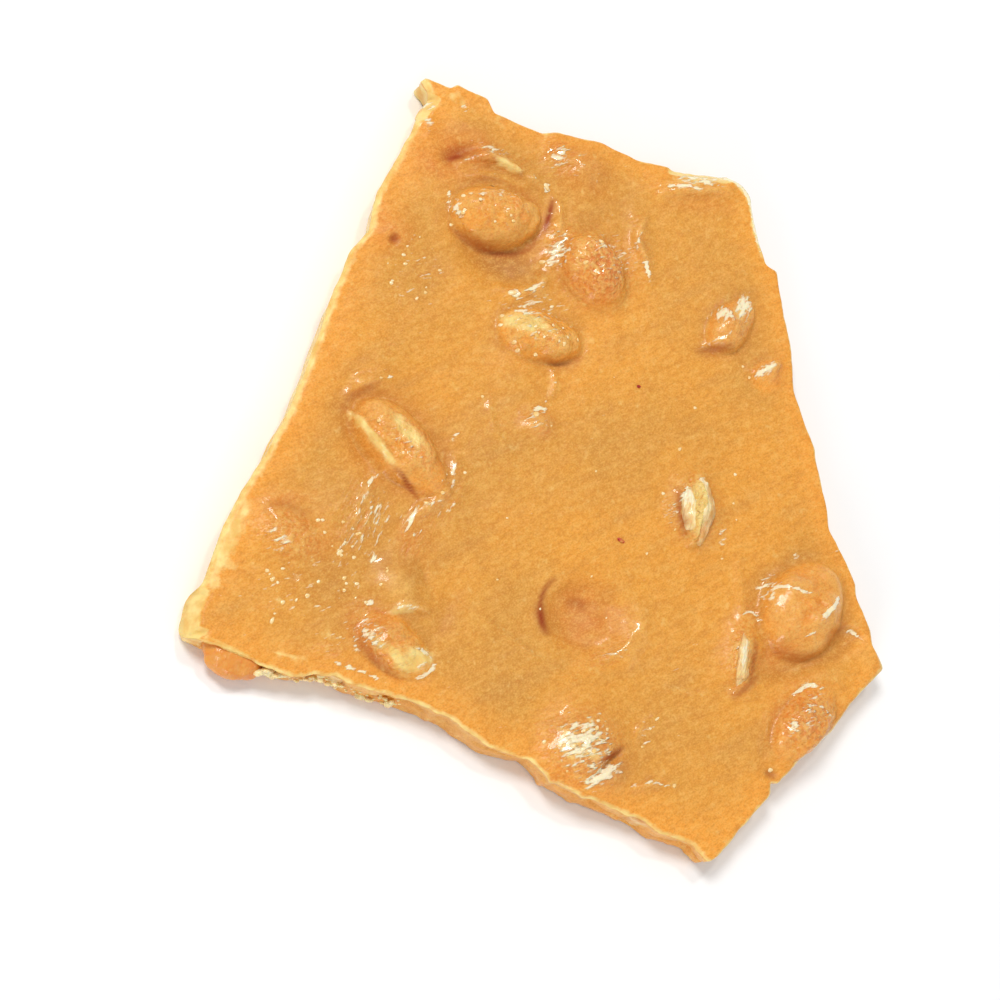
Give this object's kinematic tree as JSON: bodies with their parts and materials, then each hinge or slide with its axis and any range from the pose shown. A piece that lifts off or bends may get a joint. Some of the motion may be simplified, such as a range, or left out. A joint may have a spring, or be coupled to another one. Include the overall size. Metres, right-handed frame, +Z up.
{
  "type": "nut brittle piece",
  "caption": "Broken slab of opaque golden peanut brittle with whole and split peanuts set into its upper face and its broken edges.",
  "frame": {"origin": "centre of the bounding box, on the flat face that the slab rests on", "axes": "+Z up out of the face that shows its peanuts, +Y towards the narrow torn end, +X towards the right-hand break"},
  "size_m": [0.11, 0.116, 0.0095],
  "materials": {
    "toffee": "satin, with a glossy skin over swellings and folds",
    "glazed_peanut": "glossy, under a thin film of toffee",
    "bare_peanut": "satin, broken nut"
  },
  "bodies": {
    "root": {"slab": "toffee", "peanut_01": "glazed_peanut", "peanut_02": "glazed_peanut", "peanut_03": "glazed_peanut", "peanut_04": "glazed_peanut", "peanut_05": "glazed_peanut", "peanut_06": "glazed_peanut", "peanut_07": "glazed_peanut", "peanut_08": "bare_peanut", "peanut_09": "glazed_peanut", "peanut_10": "glazed_peanut", "peanut_11": "glazed_peanut", "peanut_12": "glazed_peanut", "peanut_13": "bare_peanut", "peanut_14": "bare_peanut", "peanut_15": "bare_peanut", "peanut_16": "bare_peanut"}
  },
  "joints": []
}
